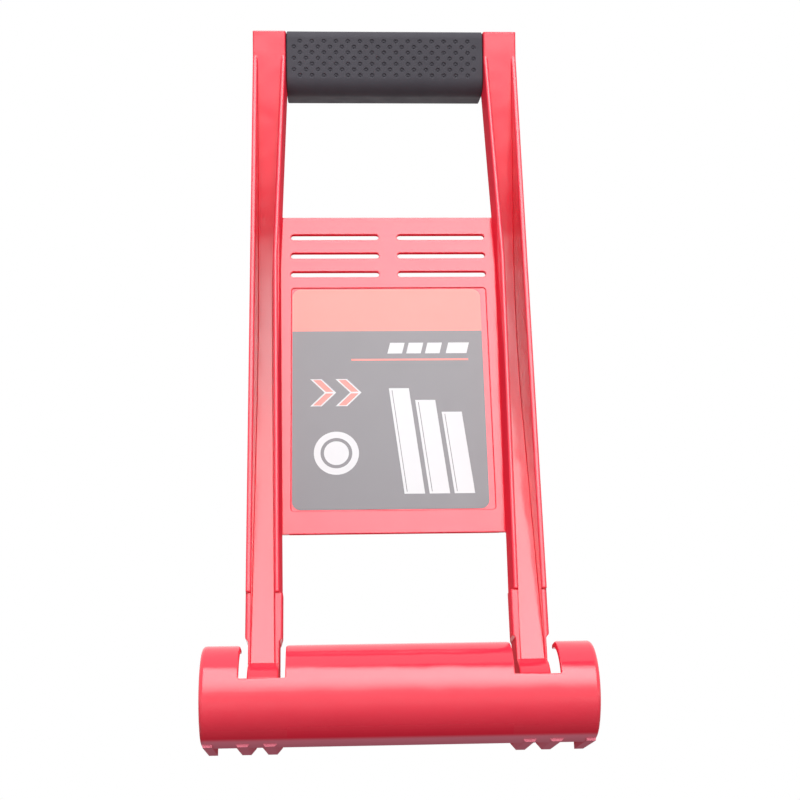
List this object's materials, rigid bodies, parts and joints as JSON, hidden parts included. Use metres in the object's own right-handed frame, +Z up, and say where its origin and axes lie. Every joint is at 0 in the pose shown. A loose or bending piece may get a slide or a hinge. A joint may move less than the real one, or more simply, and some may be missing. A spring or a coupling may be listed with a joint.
{
  "type": "panel carrier",
  "caption": "One-hand panel carrier: a handled frame with channel rails and a soft grip that tilts on a rod in a half-round base trough with a tray and rear lip for the panel edge.",
  "frame": {"origin": "centre of the bounding box at the ground, under the skid ribs of the base", "axes": "+Z up along the frame, -Y the front with the round trough and the label, +Y the panel side, X along the trough"},
  "size_m": [0.17, 0.057, 0.3619],
  "materials": {
    "red_abs": "glossy moulded",
    "soft_grip": "matte, dimpled",
    "label_print": "satin printed film",
    "rod_steel": "drawn bar, zinc plated",
    "nylon": "natural nylon"
  },
  "bodies": {
    "base": {"base_trough": "red_abs", "pivot_rod": "rod_steel", "left_rod_clip": "rod_steel", "right_rod_clip": "rod_steel", "left_outer_washer": "nylon", "left_inner_washer": "nylon", "right_inner_washer": "nylon", "right_outer_washer": "nylon"},
    "frame": {"carrier_frame": "red_abs", "handle_grip": "soft_grip", "label_sticker": "label_print"}
  },
  "joints": [
    {"name": "frame_tilt", "type": "hinge", "parent": "base", "child": "frame", "pos_m": [0, -0.0068, 0.022], "axis": [1, 0, 0], "range_deg": [0, 60]}
  ]
}
